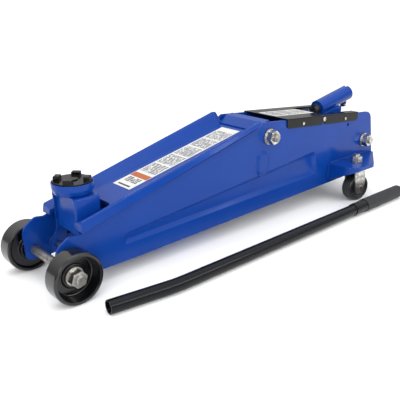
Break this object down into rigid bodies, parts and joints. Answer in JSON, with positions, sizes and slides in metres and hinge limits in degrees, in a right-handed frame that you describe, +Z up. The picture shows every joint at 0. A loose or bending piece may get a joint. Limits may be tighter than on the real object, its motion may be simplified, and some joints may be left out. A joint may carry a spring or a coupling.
{
  "type": "hydraulic trolley jack",
  "caption": "Low blue steel trolley jack with a hinged lift arm, swivelling saddle, front wheels, rear casters, hydraulic unit and a separate bent pump handle.",
  "frame": {"origin": "on the floor, under the middle of the front axle, at rest with the arm down", "axes": "+X from the front axle to the rear, +Y across to the far side, +Z up"},
  "size_m": [0.783, 0.2661, 0.2162],
  "materials": {
    "blue_paint": "gloss",
    "black_paint": "gloss",
    "handle_black": "satin",
    "black_cast": "satin",
    "zinc_plate": "satin",
    "bare_steel": "satin",
    "ground_steel": "polished",
    "spring_steel": "satin",
    "wheel_black": "gloss",
    "caster_black": "satin",
    "grip_foam": "matte",
    "label_white": "satin",
    "plug_rubber": "matte"
  },
  "bodies": {
    "frame": {"side_plate_near": "blue_paint", "side_plate_far": "blue_paint", "bottom_tie_plate": "blue_paint", "rod_stubs": "blue_paint", "front_axle": "bare_steel", "axle_spacers": "zinc_plate", "arm_pivot_shaft": "bare_steel", "rear_cross_bolt": "zinc_plate", "shaft_nuts": "zinc_plate", "shaft_washers": "zinc_plate", "valve_block": "black_cast", "reservoir_tank": "black_cast", "ram_cylinder": "bare_steel", "gland_nut": "black_cast", "filler_plug": "plug_rubber", "return_springs": "spring_steel", "yoke_pin": "bare_steel", "top_cover": "black_paint", "cover_screws": "zinc_plate", "cover_label": "label_white", "caster_bracket_near": "blue_paint", "caster_bracket_far": "blue_paint"},
    "lift_arm": {"arm_shell": "blue_paint", "arm_cheeks": "blue_paint", "arm_hub": "blue_paint", "arm_rear_cap": "blue_paint", "crank_ears": "blue_paint", "crank_pin": "bare_steel", "arm_label": "label_white", "post_pin_upper": "bare_steel"},
    "post": {"saddle_post": "blue_paint", "saddle_cup": "blue_paint", "post_pin_lower": "bare_steel"},
    "saddle_top": {"saddle": "black_paint"},
    "radius_rod_pair": {"radius_rods": "blue_paint"},
    "ram_rod": {"ram": "ground_steel", "ram_crosshead": "black_cast"},
    "plunger": {"pump_plunger": "ground_steel"},
    "yoke": {"handle_yoke": "blue_paint", "yoke_push_bar": "bare_steel"},
    "socket": {"socket_tube": "blue_paint", "clamp_screw": "zinc_plate", "release_knuckle": "black_cast"},
    "release_screw": {"release_valve": "bare_steel"},
    "front_wheel_near_body": {"front_wheel_near": "wheel_black"},
    "front_wheel_far_body": {"front_wheel_far": "wheel_black"},
    "caster_near": {"caster_fork_near": "zinc_plate", "caster_kingpin_near": "zinc_plate", "caster_axle_near": "zinc_plate", "caster_race_near": "zinc_plate"},
    "caster_far": {"caster_fork_far": "zinc_plate", "caster_kingpin_far": "zinc_plate", "caster_axle_far": "zinc_plate", "caster_race_far": "zinc_plate"},
    "caster_near_roller": {"caster_wheel_near": "caster_black"},
    "caster_far_roller": {"caster_wheel_far": "caster_black"},
    "handle": {"handle_tube": "handle_black", "handle_grip": "grip_foam", "handle_collar": "handle_black"}
  },
  "joints": [
    {"name": "lift", "type": "hinge", "parent": "frame", "child": "lift_arm", "pos_m": [0.406, 0, 0.164], "axis": [0, 1, 0], "range_deg": [0, 60]},
    {"name": "post_level", "type": "hinge", "parent": "lift_arm", "child": "post", "pos_m": [0.054, 0, 0.09], "axis": [0, 1, 0], "range_deg": [-60, 0]},
    {"name": "saddle_turn", "type": "hinge", "parent": "post", "child": "saddle_top", "pos_m": [0.046, 0, 0.15], "axis": [0, 0, 1], "continuous": true},
    {"name": "rod_swing", "type": "hinge", "parent": "frame", "child": "radius_rod_pair", "pos_m": [0.384, 0, 0.116], "axis": [0, 1, 0], "range_deg": [0, 60]},
    {"name": "ram_out", "type": "slide", "parent": "frame", "child": "ram_rod", "axis": [-1, 0, 0], "range_m": [0, 0.0705], "deforming": ["return_springs"]},
    {"name": "pump", "type": "hinge", "parent": "frame", "child": "yoke", "pos_m": [0.6, 0, 0.16], "axis": [0, -1, 0], "range_deg": [0, 45]},
    {"name": "plunger_stroke", "type": "slide", "parent": "frame", "child": "plunger", "axis": [0, 0, 1], "range_m": [0, 0.02797]},
    {"name": "socket_twist", "type": "hinge", "parent": "yoke", "child": "socket", "pos_m": [0.70568, 0, 0.20137], "axis": [0.9778, 0, 0.2096], "range_deg": [-180, 180]},
    {"name": "release_turn", "type": "hinge", "parent": "frame", "child": "release_screw", "pos_m": [0.7, 0, 0.072], "axis": [1, 0, 0], "range_deg": [-180, 180]},
    {"name": "front_wheel_near_spin", "type": "hinge", "parent": "frame", "child": "front_wheel_near_body", "pos_m": [0, -0.07, 0.038], "axis": [0, 1, 0], "continuous": true},
    {"name": "front_wheel_far_spin", "type": "hinge", "parent": "frame", "child": "front_wheel_far_body", "pos_m": [0, 0.07, 0.038], "axis": [0, 1, 0], "continuous": true},
    {"name": "caster_near_swivel", "type": "hinge", "parent": "frame", "child": "caster_near", "pos_m": [0.64, -0.082, 0.08], "axis": [0, 0, 1], "continuous": true},
    {"name": "caster_far_swivel", "type": "hinge", "parent": "frame", "child": "caster_far", "pos_m": [0.64, 0.082, 0.08], "axis": [0, 0, 1], "continuous": true},
    {"name": "caster_near_roll", "type": "hinge", "parent": "caster_near", "child": "caster_near_roller", "pos_m": [0.64245, -0.08248, 0.027], "axis": [0.1908, 0.9816, 0], "continuous": true},
    {"name": "caster_far_roll", "type": "hinge", "parent": "caster_far", "child": "caster_far_roller", "pos_m": [0.64245, 0.08248, 0.027], "axis": [-0.1908, 0.9816, 0], "continuous": true},
    {"name": "handle_pick_up", "type": "slide", "parent": "frame", "child": "handle", "axis": [0, 0, 1], "range_m": [0, 0.3]}
  ],
  "couplings": [
    {"joint": "post_level", "follows": "lift", "ratio": -1},
    {"joint": "rod_swing", "follows": "lift", "ratio": 1},
    {"joint": "ram_out", "follows": "lift", "m_per_rad": 0.066845},
    {"joint": "plunger_stroke", "follows": "pump", "m_per_rad": 0.034974},
    {"joint": "release_turn", "follows": "socket_twist", "ratio": 1}
  ]
}
